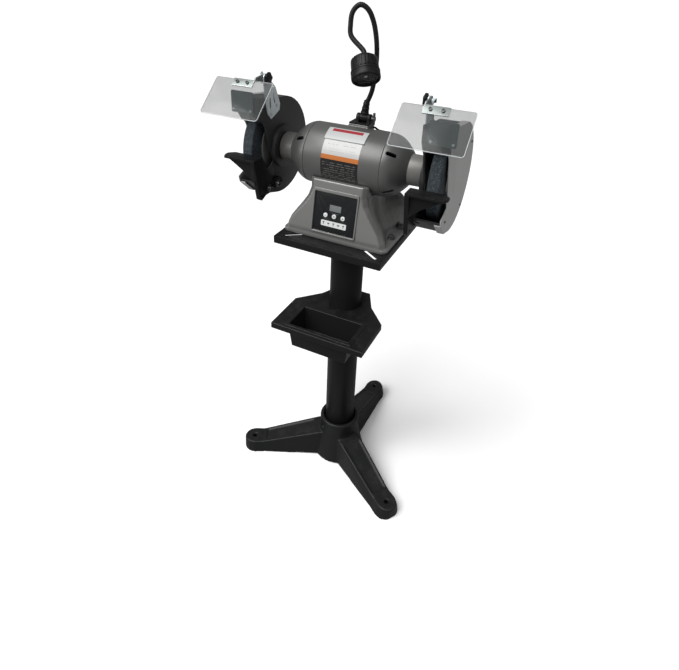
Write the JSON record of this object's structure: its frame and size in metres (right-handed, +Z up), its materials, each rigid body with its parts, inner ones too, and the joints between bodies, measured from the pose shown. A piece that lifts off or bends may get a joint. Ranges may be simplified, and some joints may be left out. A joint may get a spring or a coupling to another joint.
{
  "type": "bench grinder",
  "caption": "Bench grinder with two guarded wheels, tilting eye shields, tool rests and a gooseneck lamp, on a cast pedestal stand with a tool tray.",
  "frame": {"origin": "centre of the footprint box, on the floor", "axes": "+Z up, +X along the spindle to the right-hand wheel, -Y towards the operator"},
  "size_m": [0.579, 0.4716, 1.2797],
  "materials": {
    "grey_paint": "satin gunmetal paint on castings",
    "cover_paint": "light grey textured paint on pressed steel",
    "black_paint": "satin black paint",
    "black_plastic": "moulded black plastic",
    "lamp_rubber": "black sleeved gooseneck",
    "panel_black": "printed black membrane",
    "display": "grey display window",
    "silver_button": "silver moulded caps",
    "board": "green circuit board",
    "zinc": "zinc-plated pressed steel",
    "steel": "machined steel",
    "black_steel": "black oxide fasteners",
    "winding": "varnished copper winding and laminations",
    "abrasive": "dark blue-grey vitrified abrasive",
    "clear_shield": "clear safety pane",
    "lamp_lens": "clear lamp lens over a reflector"
  },
  "bodies": {
    "frame": {"stand_base": "black_paint", "stand_column": "black_paint", "column_set_screw": "black_steel", "column_bolt": "black_steel", "top_plate": "black_paint", "tool_tray": "black_paint", "pedestal": "grey_paint", "bottom_cover": "black_steel", "panel_face": "panel_black", "display_window": "display", "control_board": "board", "cord_gland": "black_plastic", "motor_shell": "grey_paint", "stator": "winding", "lamp_base": "black_plastic", "lamp_lead": "lamp_rubber", "end_bell_left": "grey_paint", "bearing_left": "steel", "inner_guard_left": "black_paint", "guard_cover_left": "cover_paint", "rest_bolt_left": "black_steel", "shield_bracket_left": "zinc", "foot_bolt_left_front": "black_steel", "foot_bolt_left_back": "black_steel", "end_bell_right": "grey_paint", "bearing_right": "steel", "inner_guard_right": "black_paint", "guard_cover_right": "cover_paint", "rest_bolt_right": "black_steel", "shield_bracket_right": "zinc", "foot_bolt_right_front": "black_steel", "foot_bolt_right_back": "black_steel"},
    "spindle": {"spindle_shaft": "steel", "rotor": "steel", "grinding_wheel_left": "abrasive", "grinding_wheel_right": "abrasive", "inner_flange_left": "steel", "inner_flange_right": "steel", "outer_flange_left": "steel", "outer_flange_right": "steel", "spindle_nut_left": "steel", "spindle_nut_right": "steel"},
    "minus_button": {"minus_button": "silver_button"},
    "power_button": {"power_button": "silver_button"},
    "plus_button": {"plus_button": "silver_button"},
    "water_pan": {"water_pan": "black_paint"},
    "lamp": {"lamp_neck": "lamp_rubber", "lamp_head": "black_plastic", "lamp_lens": "lamp_lens"},
    "lamp_wing_screw": {"lamp_wing_screw": "black_steel"},
    "shield_left": {"shield_pane_left": "clear_shield", "shield_clamp_left": "zinc"},
    "shield_knob_left": {"shield_knob_left": "black_plastic"},
    "spark_arrestor_left": {"spark_arrestor_left": "zinc"},
    "tool_rest_left": {"tool_rest_left": "black_paint"},
    "shield_right": {"shield_pane_right": "clear_shield", "shield_clamp_right": "zinc"},
    "shield_knob_right": {"shield_knob_right": "black_plastic"},
    "spark_arrestor_right": {"spark_arrestor_right": "zinc"},
    "tool_rest_right": {"tool_rest_right": "black_paint"}
  },
  "joints": [
    {"name": "spindle_spin", "type": "hinge", "parent": "frame", "child": "spindle", "pos_m": [0, -0.05646, 0.9508], "axis": [1, 0, 0], "continuous": true},
    {"name": "minus_button_press", "type": "slide", "parent": "frame", "child": "minus_button", "axis": [0, 0.9848, -0.1736], "range_m": [0, 0.001], "stiffness_N_per_m": 600, "springref_m": -0.0005},
    {"name": "power_button_press", "type": "slide", "parent": "frame", "child": "power_button", "axis": [0, 0.9848, -0.1736], "range_m": [0, 0.001], "stiffness_N_per_m": 600, "springref_m": -0.0005},
    {"name": "plus_button_press", "type": "slide", "parent": "frame", "child": "plus_button", "axis": [0, 0.9848, -0.1736], "range_m": [0, 0.001], "stiffness_N_per_m": 600, "springref_m": -0.0005},
    {"name": "water_pan_lift", "type": "slide", "parent": "frame", "child": "water_pan", "axis": [0, 0, 1], "range_m": [0, 0.1]},
    {"name": "shield_tilt_left", "type": "hinge", "parent": "frame", "child": "shield_left", "pos_m": [0, -0.12746, 1.1208], "axis": [-1, 0, 0], "range_deg": [-12, 75]},
    {"name": "shield_knob_turn_left", "type": "hinge", "parent": "frame", "child": "shield_knob_left", "pos_m": [0, -0.12746, 1.1208], "axis": [1, 0, 0], "continuous": true},
    {"name": "spark_arrestor_slide_left", "type": "slide", "parent": "frame", "child": "spark_arrestor_left", "axis": [0, 0, -1], "range_m": [0, 0.015]},
    {"name": "tool_rest_slide_left", "type": "slide", "parent": "frame", "child": "tool_rest_left", "axis": [0, -1, 0], "range_m": [0, 0.015]},
    {"name": "shield_tilt_right", "type": "hinge", "parent": "frame", "child": "shield_right", "pos_m": [0, -0.12746, 1.1208], "axis": [-1, 0, 0], "range_deg": [-12, 75]},
    {"name": "shield_knob_turn_right", "type": "hinge", "parent": "frame", "child": "shield_knob_right", "pos_m": [0, -0.12746, 1.1208], "axis": [1, 0, 0], "continuous": true},
    {"name": "spark_arrestor_slide_right", "type": "slide", "parent": "frame", "child": "spark_arrestor_right", "axis": [0, 0, -1], "range_m": [0, 0.015]},
    {"name": "tool_rest_slide_right", "type": "slide", "parent": "frame", "child": "tool_rest_right", "axis": [0, -1, 0], "range_m": [0, 0.015]},
    {"name": "lamp_tilt", "type": "hinge", "parent": "frame", "child": "lamp", "pos_m": [0, -0.02146, 1.0388], "axis": [1, 0, 0], "range_deg": [-20, 20]},
    {"name": "lamp_wing_screw_turn", "type": "hinge", "parent": "frame", "child": "lamp_wing_screw", "pos_m": [0, -0.02146, 1.0388], "axis": [1, 0, 0], "continuous": true}
  ]
}
